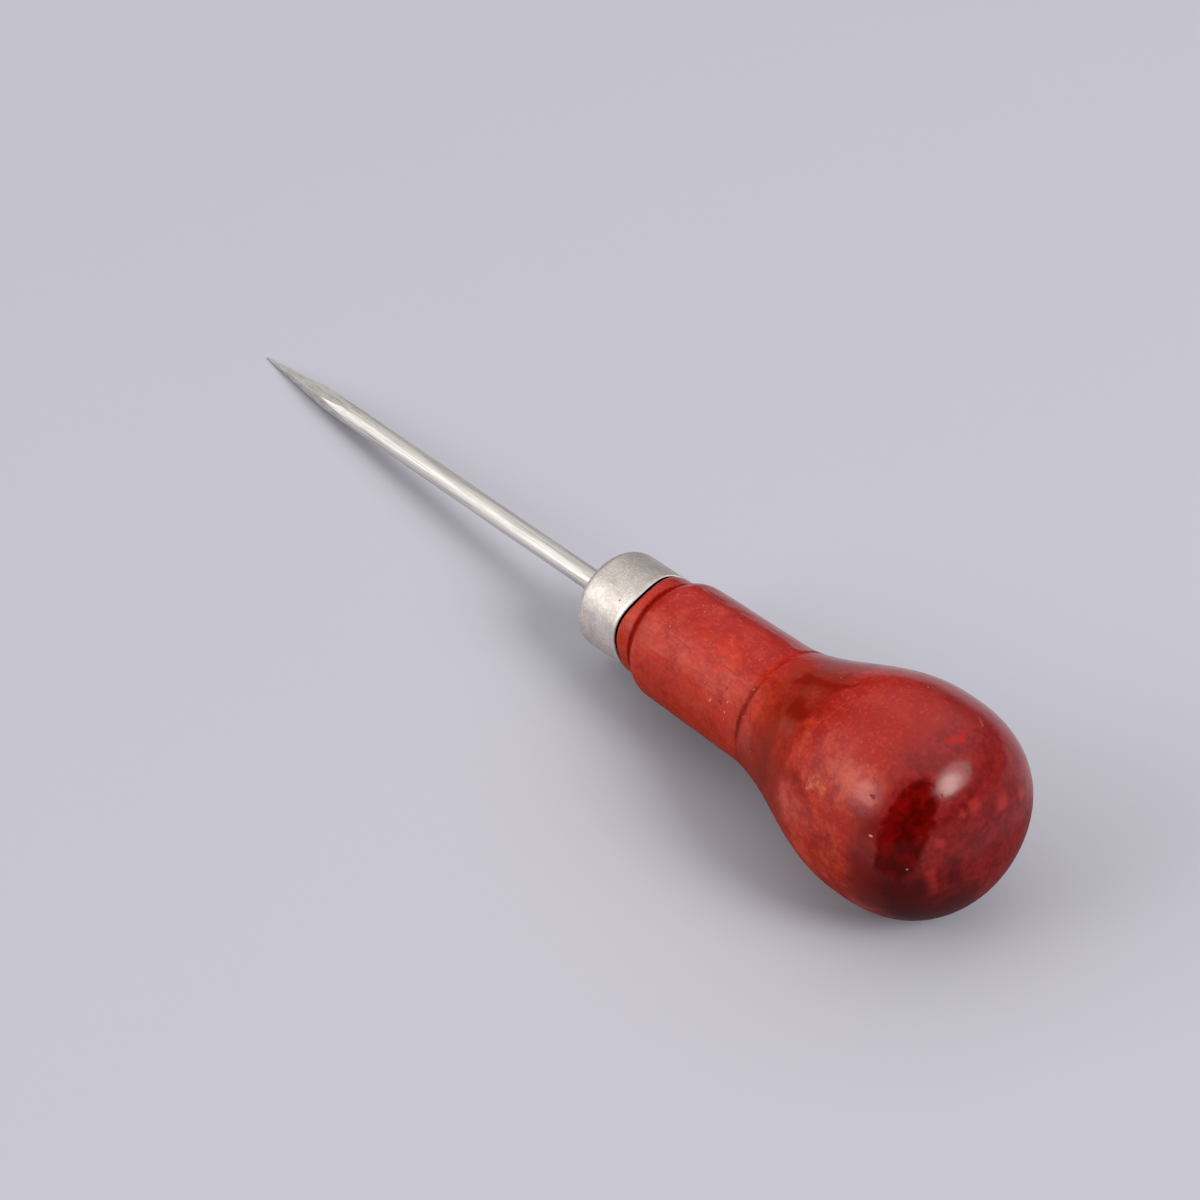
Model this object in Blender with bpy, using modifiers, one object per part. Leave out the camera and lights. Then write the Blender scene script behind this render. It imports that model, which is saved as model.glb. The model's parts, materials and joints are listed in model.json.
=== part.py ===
"""Stitching awl: a square-pointed steel blade in a turned wooden handle with a drawn metal ferrule.

Each piece is made upright on the awl's own axis, point up, with zero at the handle's shoulder. A
carrier empty then lays the whole awl down, so that the point and the bulb touch the table at z = 0.
Units are metres.
"""

import math

import bmesh
import bpy
from mathutils import Matrix, Vector

# Blade
SHANK_DIAMETER = 0.0030
BLADE_REACH = 0.0815            # from the ferrule's face to the tip
POINT_LENGTH = 0.0225           # the ground facets, along the axis
TIP_WIDTH = 0.00016             # across the flats of the blunt tip
POINT_TURN = math.radians(39)   # the facets' ridges, about the axis, from straight up
TANG_LENGTH = 0.0320            # from the ferrule's face to the tang's end
TANG_TAPER_LENGTH = 0.0240      # the square part of the tang
TANG_END_WIDTH = 0.0016         # across the flats of the tang's end

# Ferrule
FERRULE_DIAMETER = 0.0137
FERRULE_LENGTH = 0.0085
FERRULE_WALL = 0.0004
FERRULE_ROUNDING = 0.0015       # outer radius of the front edge

# Handle
RIM_GAP = 0.0005                # between the ferrule's rim and the collar
COLLAR_LENGTH = 0.0025          # the collar, from that gap to the shoulder
COLLAR_STEP = 0.0007            # from the spigot out to the collar
SHOULDER_STEP = 0.00025         # from the collar out to the edge of the nose
NOSE_RISE = 0.00095             # from the edge of the nose out to the neck
NOSE_LENGTH = 0.0026
NECK_LENGTH = 0.0190            # from the shoulder to where the flare starts
NECK_SWELL = 0.0002             # how much the neck's radius grows on the way
FLARE_LENGTH = 0.0235           # from there to the widest place of the bulb
BULB_DIAMETER = 0.0281
BUTT_LENGTH = 0.0144            # from the widest place to the end
BUTT_FULLNESS = 2.6             # 2 is an ellipse, and more is squarer
RING_SETBACK = 0.0036           # the incised ring, past the start of the flare
RING_WIDTH = 0.0007
RING_DEPTH = 0.0004

# Fits and facets
FIT_GAP = 0.0003                # between pieces that are pushed together
TURNING_STEPS = 48
SHANK_STEPS = 24
ARC_STEPS = 5
FLARE_STEPS = 14
BUTT_STEPS = 14
WELD_DISTANCE = 0.00001
CUTTER_MARGIN = 0.0010          # how far a cutter stands past what it cuts

# Places along the axis, with the point up and zero at the shoulder
RIM_PLACE = COLLAR_LENGTH + RIM_GAP
FACE_PLACE = RIM_PLACE + FERRULE_LENGTH
TIP_PLACE = FACE_PLACE + BLADE_REACH
TANG_PLACE = FACE_PLACE - TANG_LENGTH
SPIGOT_PLACE = FACE_PLACE - FERRULE_WALL - FIT_GAP
HANDLE_LENGTH = NECK_LENGTH + FLARE_LENGTH + BUTT_LENGTH
RING_PLACE = NECK_LENGTH + RING_SETBACK

# Radii that follow from the fits
SHANK_RADIUS = SHANK_DIAMETER / 2
FERRULE_RADIUS = FERRULE_DIAMETER / 2
FERRULE_INSIDE = FERRULE_RADIUS - FERRULE_WALL
INSIDE_ROUNDING = max(FERRULE_ROUNDING - FERRULE_WALL, FIT_GAP)
SPIGOT_RADIUS = FERRULE_INSIDE - FIT_GAP
COLLAR_RADIUS = SPIGOT_RADIUS + COLLAR_STEP
NOSE_RADIUS = COLLAR_RADIUS + SHOULDER_STEP
NECK_RADIUS = NOSE_RADIUS + NOSE_RISE
BULB_RADIUS = BULB_DIAMETER / 2


def clear_scene():
    for item in list(bpy.data.objects):
        bpy.data.objects.remove(item, do_unlink=True)


def new_collection(name):
    collection = bpy.data.collections.new(name)
    bpy.context.scene.collection.children.link(collection)
    return collection


def material(name, colour, roughness, metallic):
    result = bpy.data.materials.new(name)
    result.use_nodes = True
    shader = result.node_tree.nodes["Principled BSDF"]
    shader.inputs["Base Color"].default_value = (*colour, 1.0)
    shader.inputs["Roughness"].default_value = roughness
    shader.inputs["Metallic"].default_value = metallic
    return result


def turned(name, profile, steps, collection, closed=False):
    """A profile of (radius, height) points, listed down its outer side and turned about the axis."""
    mesh = bpy.data.meshes.new(name)
    shape = bmesh.new()
    points = [shape.verts.new((radius, 0.0, height)) for radius, height in profile]
    for upper, lower in zip(points, points[1:]):
        shape.edges.new((upper, lower))
    if closed:
        shape.edges.new((points[-1], points[0]))
    shape.to_mesh(mesh)
    shape.free()
    piece = bpy.data.objects.new(name, mesh)
    collection.objects.link(piece)
    # Half a step of turn puts a flat strip, not a row of corners, on the table.
    piece.rotation_euler.z = math.pi / steps
    screw = piece.modifiers.new("turning", "SCREW")
    screw.steps = steps
    screw.render_steps = steps
    screw.use_merge_vertices = True
    screw.merge_threshold = WELD_DISTANCE
    return piece


def square_taper(name, narrow_width, narrow_place, wide_width, wide_place, turn, collection):
    """A four-sided taper on the axis, between two heights, given across its flats."""
    low = min(narrow_place, wide_place)
    high = max(narrow_place, wide_place)
    corner = {narrow_place: narrow_width / math.sqrt(2), wide_place: wide_width / math.sqrt(2)}
    shape = bmesh.new()
    bmesh.ops.create_cone(
        shape,
        cap_ends=True,
        segments=4,
        radius1=corner[low],
        radius2=corner[high],
        depth=high - low,
        matrix=Matrix.Translation((0.0, 0.0, (low + high) / 2)),
    )
    mesh = bpy.data.meshes.new(name)
    shape.to_mesh(mesh)
    shape.free()
    piece = bpy.data.objects.new(name, mesh)
    piece.rotation_euler.z = turn
    collection.objects.link(piece)
    return piece


def as_cutter(piece):
    piece.hide_render = True
    piece.display_type = "WIRE"
    return piece


def boolean(piece, operation, cutter):
    step = piece.modifiers.new(cutter.name, "BOOLEAN")
    step.operation = operation
    step.solver = "EXACT"
    step.object = cutter


def quarter_arc(start_radius, start_height, radius_change, height_change):
    """Points along a quarter ellipse that leaves along the radius and ends along the axis."""
    points = []
    for step in range(ARC_STEPS + 1):
        angle = math.pi / 2 * step / ARC_STEPS
        radius = start_radius + radius_change * math.sin(angle)
        height = start_height + height_change * (1 - math.cos(angle))
        points.append((radius, height))
    return points


def body_radius(depth):
    """The handle's radius below the nose and above the widest place of the bulb, without the ring."""
    along_neck = min(max((depth - NOSE_LENGTH) / (NECK_LENGTH - NOSE_LENGTH), 0.0), 1.0)
    along_flare = min(max((depth - NECK_LENGTH) / FLARE_LENGTH, 0.0), 1.0)
    neck = NECK_RADIUS + NECK_SWELL * along_neck
    ease = along_flare * along_flare * (3 - 2 * along_flare)
    return neck + (BULB_RADIUS - NECK_RADIUS - NECK_SWELL) * ease


def ring_cut(depth):
    return RING_DEPTH * max(0.0, 1 - abs(depth - RING_PLACE) / (RING_WIDTH / 2))


def handle_profile():
    end_rounding = min(INSIDE_ROUNDING, SPIGOT_RADIUS / 2)
    spigot = [(0.0, SPIGOT_PLACE)]
    spigot += quarter_arc(SPIGOT_RADIUS - end_rounding, SPIGOT_PLACE, end_rounding, -end_rounding)
    spigot.append((SPIGOT_RADIUS, COLLAR_LENGTH))

    collar = [(COLLAR_RADIUS, COLLAR_LENGTH), (COLLAR_RADIUS, 0.0)]
    shares = [step / ARC_STEPS for step in range(ARC_STEPS + 1)]
    nose = [(NECK_RADIUS - NOSE_RISE * (1 - share) ** 2, -NOSE_LENGTH * share) for share in shares]

    ring_edges = [RING_PLACE - RING_WIDTH / 2, RING_PLACE, RING_PLACE + RING_WIDTH / 2]
    flare_depths = [NECK_LENGTH + FLARE_LENGTH * step / FLARE_STEPS for step in range(FLARE_STEPS)]
    clear_depths = [depth for depth in flare_depths if abs(depth - RING_PLACE) > RING_WIDTH]
    depths = sorted(clear_depths + ring_edges)
    flare = [(body_radius(depth) - ring_cut(depth), -depth) for depth in depths]

    butt = []
    power = 2 / BUTT_FULLNESS
    for step in range(BUTT_STEPS):
        angle = math.pi / 2 * step / BUTT_STEPS
        radius = BULB_RADIUS * math.cos(angle) ** power
        depth = NECK_LENGTH + FLARE_LENGTH + BUTT_LENGTH * math.sin(angle) ** power
        butt.append((radius, -depth))
    butt.append((0.0, -HANDLE_LENGTH))
    return spigot + collar + nose + flare + butt


def ferrule_profile():
    hole = SHANK_RADIUS + FIT_GAP
    inner_face = FACE_PLACE - FERRULE_WALL
    front_edge = quarter_arc(
        FERRULE_RADIUS - FERRULE_ROUNDING, FACE_PLACE, FERRULE_ROUNDING, -FERRULE_ROUNDING)
    inner_edge = quarter_arc(
        FERRULE_INSIDE - INSIDE_ROUNDING, inner_face, INSIDE_ROUNDING, -INSIDE_ROUNDING)
    rim = [(FERRULE_RADIUS, RIM_PLACE), (FERRULE_INSIDE, RIM_PLACE)]
    return [(hole, FACE_PLACE)] + front_edge + rim + inner_edge[::-1] + [(hole, inner_face)]


def tang_taper(name, gap, collection):
    """The tapered square that shapes the tang, or with a gap added all round, its hole."""
    slope = (SHANK_DIAMETER - TANG_END_WIDTH) / TANG_TAPER_LENGTH
    wide_place = TIP_PLACE + CUTTER_MARGIN
    end_place = TANG_PLACE - gap
    wide_width = TANG_END_WIDTH + slope * (wide_place - TANG_PLACE) + 2 * gap
    end_width = TANG_END_WIDTH + 2 * gap
    return square_taper(name, end_width, end_place, wide_width, wide_place, POINT_TURN, collection)


def rod(name, radius, top, bottom, collection):
    profile = [(0.0, top), (radius, top), (radius, bottom), (0.0, bottom)]
    return turned(name, profile, SHANK_STEPS, collection)


def make_blade(parts, cutters):
    blade = rod("blade", SHANK_RADIUS, TIP_PLACE + CUTTER_MARGIN, TANG_PLACE - CUTTER_MARGIN, parts)
    foot_place = TANG_PLACE - 2 * CUTTER_MARGIN
    slope = (SHANK_DIAMETER - TIP_WIDTH) / POINT_LENGTH
    foot_width = TIP_WIDTH + slope * (TIP_PLACE - foot_place)
    facets = square_taper(
        "point_facets", TIP_WIDTH, TIP_PLACE, foot_width, foot_place, POINT_TURN, cutters)
    boolean(blade, "INTERSECT", as_cutter(facets))
    boolean(blade, "INTERSECT", as_cutter(tang_taper("tang_facets", 0.0, cutters)))
    blade.data.materials.append(material("ground_steel", (0.56, 0.55, 0.52), 0.30, 1.0))
    return blade


def make_ferrule(parts):
    ferrule = turned("ferrule", ferrule_profile(), TURNING_STEPS, parts, closed=True)
    ferrule.data.materials.append(material("nickel_plate", (0.62, 0.61, 0.57), 0.32, 1.0))
    return ferrule


def make_handle(parts, cutters):
    handle = turned("handle", handle_profile(), TURNING_STEPS, parts)
    mouth = SPIGOT_PLACE + CUTTER_MARGIN
    hole = rod("tang_hole", SHANK_RADIUS + FIT_GAP, mouth, TANG_PLACE - CUTTER_MARGIN, cutters)
    boolean(hole, "INTERSECT", as_cutter(tang_taper("tang_hole_flats", FIT_GAP, cutters)))
    boolean(handle, "DIFFERENCE", as_cutter(hole))
    handle.data.materials.append(material("stained_wood", (0.42, 0.045, 0.030), 0.28, 0.0))
    return handle


def lay_on_table(carrier, pieces):
    """Turns the carrier until the tip and the bulb both touch z = 0, and centres the awl on it."""
    bpy.context.view_layer.update()
    state = bpy.context.evaluated_depsgraph_get()
    points = []
    for piece in pieces:
        place = piece.matrix_world
        points += [place @ corner.co for corner in piece.evaluated_get(state).data.vertices]
    # While upright, -X is the side that will face the table.
    tip_low = min(point.x for point in points if point.z > TIP_PLACE - WELD_DISTANCE)
    tilt = max(
        math.atan2(tip_low - point.x, TIP_PLACE - point.z)
        for point in points if point.z < FACE_PLACE)
    turn = Matrix.Rotation(-math.pi / 2 - tilt, 4, "Y")
    laid = [turn @ point for point in points]
    middle = (min(point.x for point in laid) + max(point.x for point in laid)) / 2
    lowest = min(point.z for point in laid)
    carrier.matrix_world = Matrix.Translation(Vector((-middle, 0.0, -lowest))) @ turn


def main():
    clear_scene()
    parts = new_collection("stitching_awl")
    cutters = new_collection("cutters")
    carrier = bpy.data.objects.new("awl_axis", None)
    parts.objects.link(carrier)
    pieces = [make_blade(parts, cutters), make_ferrule(parts), make_handle(parts, cutters)]
    for piece in list(parts.objects) + list(cutters.objects):
        if piece is not carrier:
            piece.parent = carrier
    lay_on_table(carrier, pieces)


main()
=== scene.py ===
import json
import math

import bmesh
import bpy
from mathutils import Matrix, Vector, noise


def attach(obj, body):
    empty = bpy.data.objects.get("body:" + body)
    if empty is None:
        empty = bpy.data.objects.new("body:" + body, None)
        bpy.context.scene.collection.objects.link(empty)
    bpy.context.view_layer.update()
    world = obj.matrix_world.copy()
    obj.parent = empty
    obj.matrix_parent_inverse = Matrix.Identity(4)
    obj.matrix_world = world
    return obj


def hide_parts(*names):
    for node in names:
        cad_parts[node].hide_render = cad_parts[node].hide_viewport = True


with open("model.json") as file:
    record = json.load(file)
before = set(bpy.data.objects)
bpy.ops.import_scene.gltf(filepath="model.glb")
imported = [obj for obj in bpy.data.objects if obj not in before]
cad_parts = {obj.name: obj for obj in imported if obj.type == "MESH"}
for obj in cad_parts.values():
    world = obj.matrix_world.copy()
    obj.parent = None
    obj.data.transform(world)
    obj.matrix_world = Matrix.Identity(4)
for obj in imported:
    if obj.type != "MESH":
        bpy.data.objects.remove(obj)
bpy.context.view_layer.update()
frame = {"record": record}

# The awl's axis
# The awl lies on its point and its bulb, so it slopes. The mount on the ferrule's face tells where that
# face is and which way the blade leaves it. Every piece is made upright on the axis, in metres from that
# face with the point up, and is then laid down.
face_mount = frame["record"]["mounts"][0]
face_centre = Vector((face_mount["pos_m"][0], 0.0, face_mount["pos_m"][2]))
toward_tip = Vector(face_mount["axis"]).normalized()
lay_angle = -math.pi / 2 - math.asin(-toward_tip.z)
lay_down = Matrix.Translation(face_centre) @ Matrix.Rotation(lay_angle, 4, "Y")

# Handle
# One piece of close-grained hardwood, turned on a lathe: a spigot for the ferrule, a collar, a rounded nose,
# a straight neck, an incised ring, a cove and a bulb for the palm. It is stained orange-red, darker on the
# end grain and darker in the cove, where stain gathers; painted shade deepens the cove and the end grain's
# underside. It is dipped in gloss varnish, which is thin underneath and has pits and nibs, and the nibs are
# also painted pale as glints.
SHOULDER = 0.0115
SPIGOT_RADIUS = 0.00615
SPIGOT_TOP = 0.0007
SPIGOT_ROUNDING = 0.0011
SPIGOT_STEPS = 6
BORE_RADIUS = 0.0018
BORE_DEPTH = 0.0323
FERRULE_LENGTH = 0.0085
RIM_GAP = 0.00054
RIM_WAVE = 0.0002
RIM_WAVES = ((3, math.radians(22)), (4, math.radians(20)))
COLLAR_RADIUS = 0.00685
COLLAR_EASE = 0.0001
COLLAR_RINGS = (0.08, 0.25, 0.5, 0.75, 0.95)
CUT_RADIUS = 0.00645
CUT_WIDTH = 0.00045
NOSE_RADIUS = 0.0071
NOSE_LENGTH = 0.0026
NOSE_STEPS = 12
NECK_RADIUS = 0.00805
NECK_END_RADIUS = 0.00825
NECK_LENGTH = 0.0190
BULB_RADIUS = 0.01405
FLARE_LENGTH = 0.0235
BODY_STEPS = 80
BUTT_LENGTH = 0.0144
BUTT_FULLNESS = 2.6
BUTT_STEPS = 48
RING_DEPTH = 0.0226
RING_WIDTH = 0.0011
RING_CUT = 0.00010
RING_POINTEDNESS = 1.5
RING_STEPS = 5
RING_FILLED = 0.85
RING_DEEP_SIDE = math.radians(-75)
TURNED_STEPS = 144
SANDING = 0.00006
SANDING_SIZE = 0.0075
WELD = 0.000001
SHARP_ANGLE = math.radians(40)


def arc(start, radius_change, height_change, steps):
    """A quarter ellipse of points that leaves (radius, height) along the radius and ends along the axis."""
    points = []
    for step in range(steps + 1):
        angle = math.pi / 2 * step / steps
        points.append((start[0] + radius_change * math.sin(angle),
                       start[1] + height_change * (1 - math.cos(angle))))
    return points


def spun(profile, steps, closed=False):
    """A bmesh that turns a profile of (radius, height) points all the way round the axis."""
    shape = bmesh.new()
    points = [shape.verts.new((radius, 0.0, height)) for radius, height in profile]
    lines = [shape.edges.new(pair) for pair in zip(points, points[1:])]
    if closed:
        lines.append(shape.edges.new((points[-1], points[0])))
    bmesh.ops.spin(shape, geom=points + lines, axis=(0, 0, 1), cent=(0, 0, 0), dvec=(0, 0, 0),
                   angle=2 * math.pi, steps=steps, use_merge=True)
    bmesh.ops.remove_doubles(shape, verts=shape.verts, dist=WELD)
    bmesh.ops.recalc_face_normals(shape, faces=shape.faces)
    return shape


def unevenness(shape, amount, size):
    """Moves the surface in and out a little, as hand sanding or drawing leaves it."""
    shape.normal_update()
    moves = [(corner, corner.normal * amount * noise.noise(corner.co / size)) for corner in shape.verts]
    for corner, move in moves:
        corner.co += move


def laid_piece(name, shape, finish, node, sharp_angle=SHARP_ANGLE):
    """The finished piece: smooth between its sharp edges, laid on the awl's axis, in place of its node."""
    for face in shape.faces:
        face.smooth = True
    for edge in shape.edges:
        edge.smooth = edge.calc_face_angle(0.0) < sharp_angle
    bmesh.ops.transform(shape, matrix=lay_down, verts=shape.verts)
    mesh = bpy.data.meshes.new(name)
    shape.to_mesh(mesh)
    shape.free()
    mesh.materials.append(finish)
    piece = bpy.data.objects.new(name, mesh)
    bpy.context.scene.collection.objects.link(piece)
    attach(piece, "root")
    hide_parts(node)


def ring_cut(depth):
    """How deep the incised ring is at a depth behind the shoulder. It is deepest in its middle."""
    from_middle = min(abs(depth - RING_DEPTH) / (RING_WIDTH / 2), 1.0)
    return RING_CUT * (1 - from_middle) ** RING_POINTEDNESS


def neck_and_flare(depth):
    """The handle's radius at a depth behind the shoulder, from the end of the nose to the widest place."""
    along_neck = min((depth - NOSE_LENGTH) / (NECK_LENGTH - NOSE_LENGTH), 1.0)
    along_flare = max((depth - NECK_LENGTH) / FLARE_LENGTH, 0.0)
    ease = along_flare ** 2 * (3 - 2 * along_flare)
    neck = NECK_RADIUS + (NECK_END_RADIUS - NECK_RADIUS) * along_neck
    return neck + (BULB_RADIUS - NECK_END_RADIUS) * ease - ring_cut(depth)


handle_line = [(0.0, -BORE_DEPTH), (BORE_RADIUS, -BORE_DEPTH), (BORE_RADIUS, -SPIGOT_TOP)]
spigot_edge = (SPIGOT_RADIUS - SPIGOT_ROUNDING, -SPIGOT_TOP)
handle_line += arc(spigot_edge, SPIGOT_ROUNDING, -SPIGOT_ROUNDING, SPIGOT_STEPS)
collar_front = -FERRULE_LENGTH - RIM_GAP
collar_back = -SHOULDER + CUT_WIDTH
collar_length = collar_front - collar_back
handle_line += [(SPIGOT_RADIUS, collar_front), (COLLAR_RADIUS - COLLAR_EASE, collar_front)]
handle_line += [(COLLAR_RADIUS, collar_front - collar_length * share) for share in COLLAR_RINGS]
handle_line += [(COLLAR_RADIUS - COLLAR_EASE, collar_back), (CUT_RADIUS, -SHOULDER + CUT_WIDTH / 3)]
handle_line.append((NOSE_RADIUS - COLLAR_EASE, -SHOULDER))
nose_shares = [step / NOSE_STEPS for step in range(NOSE_STEPS + 1)]
handle_line += [(NECK_RADIUS - (NECK_RADIUS - NOSE_RADIUS) * (1 - share) ** 2,
                 -SHOULDER - COLLAR_EASE - (NOSE_LENGTH - COLLAR_EASE) * share) for share in nose_shares]
body_end = NECK_LENGTH + FLARE_LENGTH
body_depths = [NOSE_LENGTH + (body_end - NOSE_LENGTH) * step / BODY_STEPS for step in range(1, BODY_STEPS)]
body_depths = [depth for depth in body_depths if abs(depth - RING_DEPTH) > RING_WIDTH / 2]
ring_shares = [step / RING_STEPS for step in range(-RING_STEPS, RING_STEPS + 1)]
body_depths += [RING_DEPTH + RING_WIDTH / 2 * share for share in ring_shares]
handle_line += [(neck_and_flare(depth), -SHOULDER - depth) for depth in sorted(body_depths)]
butt_angles = [math.pi / 2 * step / BUTT_STEPS for step in range(BUTT_STEPS)]
handle_line += [(BULB_RADIUS * math.cos(angle) ** (2 / BUTT_FULLNESS),
                 -SHOULDER - body_end - BUTT_LENGTH * math.sin(angle) ** (2 / BUTT_FULLNESS))
                for angle in butt_angles]
handle_line.append((0.0, -SHOULDER - body_end - BUTT_LENGTH))
handle_shape = spun(handle_line, TURNED_STEPS)


def rim_wave(corner):
    """How far the ferrule's wavy rim stands toward the handle, at a corner's turn about the axis."""
    turn = math.atan2(corner.co.y, corner.co.x)
    return RIM_WAVE * sum(math.cos(count * (turn + shift)) for count, shift in RIM_WAVES)


# The collar's front keeps its gap behind the wavy rim, and varnish fills the ring except on one side.
for corner in handle_shape.verts:
    outside = math.hypot(corner.co.x, corner.co.y) > SPIGOT_RADIUS - WELD
    if outside and corner.co.z > collar_back and corner.co.z < collar_front + WELD:
        corner.co.z -= rim_wave(corner) * (corner.co.z - collar_back) / collar_length
for corner in handle_shape.verts:
    from_deep_side = math.atan2(corner.co.y, corner.co.x) - RING_DEEP_SIDE
    filled = RING_FILLED * (1 - math.cos(from_deep_side)) / 2
    corner.co.xy += corner.co.xy.normalized() * filled * ring_cut(-corner.co.z - SHOULDER)
unevenness(handle_shape, SANDING, SANDING_SIZE)

MM = 1000.0
DOT_BLUR = 0.4
SHARE_BLUR = 0.02
STRAY_DETAIL = 3.0


class Value:
    """A shader socket that Python's own signs can work with. Each sign adds its Math node."""

    def __init__(self, tree, socket=None):
        self.tree = tree
        self.socket = socket

    def node(self, kind, settings=None, sockets=None, output=0):
        """Adds a node: first its settings, then its sockets, which take numbers, colours or other Values."""
        made = self.tree.nodes.new(kind)
        for name, setting in (settings or {}).items():
            setattr(made, name, setting)
        for name, content in (sockets or {}).items():
            if isinstance(content, Value):
                self.tree.links.new(content.socket, made.inputs[name])
            else:
                made.inputs[name].default_value = content
        return Value(self.tree, made.outputs[output] if made.outputs else None)

    def math(self, operation, first, second):
        return self.node("ShaderNodeMath", {"operation": operation}, {0: first, 1: second})

    def __add__(self, other):
        return self.math("ADD", self, other)

    __radd__ = __add__

    def __sub__(self, other):
        return self.math("SUBTRACT", self, other)

    def __rsub__(self, other):
        return self.math("SUBTRACT", other, self)

    def __mul__(self, other):
        return self.math("MULTIPLY", self, other)

    __rmul__ = __mul__

    def __truediv__(self, other):
        return self.math("DIVIDE", self, other)

    def __abs__(self):
        return self.math("ABSOLUTE", self, 0.0)


def new_finish(name):
    """An empty material, and a Value to start its nodes from."""
    finish = bpy.data.materials.new(name)
    finish.use_nodes = True
    finish.node_tree.nodes.clear()
    return finish, Value(finish.node_tree)


def awl_place(start):
    """A place on the awl in millimetres: up, to the side, and toward the tip from the ferrule's face."""
    point = start.node("ShaderNodeTexCoord", output="Object")
    return start.node("ShaderNodeMapping", {"vector_type": "TEXTURE"}, {
        "Vector": point, "Location": face_centre, "Rotation": (0.0, lay_angle, 0.0), "Scale": (1 / MM,) * 3})


def part_of(place, direction):
    """One of a place's three numbers: X is up, Y is to the side and Z is toward the tip."""
    return place.node("ShaderNodeSeparateXYZ", sockets={0: place}, output=direction)


def vector_maths(operation, first, second, third=(0.0, 0.0, 0.0), output=0):
    sockets = {0: first, 1: second, 2: third}
    return first.node("ShaderNodeVectorMath", {"operation": operation}, sockets, output)


def drawn_out(place, lengthwise):
    """A place with its length along the axis multiplied, so that a pattern on it gets longer or shorter."""
    return vector_maths("MULTIPLY", place, (1.0, 1.0, lengthwise))


def axis_distance(place):
    return place.node("ShaderNodeVectorMath", {"operation": "LENGTH"}, {0: drawn_out(place, 0.0)}, "Value")


def cloud(place, scale, detail, roughness=0.6):
    """Soft noise from 0 to 1, with this many blobs to a millimetre."""
    return place.node("ShaderNodeTexNoise", sockets={
        "Vector": place, "Scale": scale, "Detail": detail, "Roughness": roughness})


def rise(value, low, high):
    """0 below low, 1 above high, and a smooth rise between them. With low above high it falls."""
    return value.node("ShaderNodeMapRange", {"interpolation_type": "SMOOTHSTEP"}, {
        "Value": value, "From Min": low, "From Max": high})


def within(value, start, full_from, full_to, end):
    """0 outside start and end, 1 between the inner two limits, and smooth between."""
    return rise(value, start, full_from) * rise(value, end, full_to)


def larger(first, second):
    return first.math("MAXIMUM", first, second)


def scattered(place, scale, share, size):
    """Small round dots, one in each of this many cells to a millimetre, of which only a share is kept."""
    cells = {"Vector": place, "Scale": scale}
    from_dot = place.node("ShaderNodeTexVoronoi", sockets=cells)
    dot = rise(from_dot, (1 + DOT_BLUR) * size, (1 - DOT_BLUR) * size)
    tint = place.node("ShaderNodeTexVoronoi", sockets=cells, output="Color")
    chance = place.node("ShaderNodeSeparateColor", sockets={0: tint})
    return dot * rise(chance, share, share - SHARE_BLUR)


def strayed(place, scale, reach):
    """Places pushed about by noise, so that what is laid on them gets ragged edges."""
    push = place.node("ShaderNodeTexNoise", sockets={"Vector": place, "Scale": scale, "Detail": STRAY_DETAIL},
                      output="Color")
    push = vector_maths("SUBTRACT", push, (0.5, 0.5, 0.5))
    return vector_maths("MULTIPLY_ADD", push, (reach,) * 3, place)


def marks(place, spots, edge):
    """1 within a few round marks on the handle, each with its depth, its turn in degrees and its radius."""
    total = None
    for depth, turn, radius in spots:
        past_bulb = max(depth / MM - body_end, 0.0) / BUTT_LENGTH
        out = MM * neck_and_flare(min(depth / MM, body_end))
        out = out * (1 - past_bulb ** BUTT_FULLNESS) ** (1 / BUTT_FULLNESS)
        side = math.radians(turn)
        middle = (out * math.cos(side), out * math.sin(side), -MM * SHOULDER - depth)
        away = vector_maths("DISTANCE", place, middle, output="Value")
        mark = rise(away, radius, max(radius - edge, 0.0))
        total = mark if total is None else larger(total, mark)
    return total


def blend(share, first, second):
    """A colour between two colours."""
    colours = {6: first if isinstance(first, Value) else (*first, 1.0),
               7: second if isinstance(second, Value) else (*second, 1.0)}
    return share.node("ShaderNodeMix", {"data_type": "RGBA"}, {0: share, **colours}, output=2)


def tinted(colour, field, tint, paint, where=1.0):
    """Paint over a colour: a tint is its share, then the noise at which it begins and at which it is full."""
    share, begins, full = tint
    return blend(where * (share * rise(field, begins, full)), colour, paint)


def bumped(height, strength, distance):
    """A normal that follows a height."""
    sockets = {"Height": height, "Strength": strength, "Distance": distance}
    return height.node("ShaderNodeBump", sockets=sockets)


def surface(start, sockets):
    shader = start.node("ShaderNodeBsdfPrincipled", sockets=sockets)
    start.node("ShaderNodeOutputMaterial", sockets={"Surface": shader})


wood, start = new_finish("stained_varnished_wood")
place = awl_place(start)
depth = -MM * SHOULDER - part_of(place, "Z")
from_axis = axis_distance(place)
lean = part_of(place, "Y") / from_axis
blotches = cloud(place, scale=0.15, detail=5.0, roughness=0.62)
patches = cloud(place, scale=0.26, detail=4.0)
cast = cloud(place, scale=0.36, detail=3.0)
lumps = cloud(place, scale=0.5, detail=3.0, roughness=0.55)
crumbs = cloud(place, scale=1.3, detail=4.0, roughness=0.62)
grit = cloud(place, scale=1.9, detail=3.0)
mottle = cloud(drawn_out(place, 0.7), scale=0.75, detail=4.0, roughness=0.65)
fibres = cloud(drawn_out(place, 0.10), scale=1.5, detail=4.0)
hairs = cloud(drawn_out(place, 0.07), scale=3.6, detail=3.0)
ragged = strayed(place, scale=0.45, reach=3.0)
frayed = strayed(place, scale=0.9, reach=1.2)
torn = strayed(place, scale=0.9, reach=1.9)
wandering = strayed(place, scale=0.5, reach=1.0)
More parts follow.
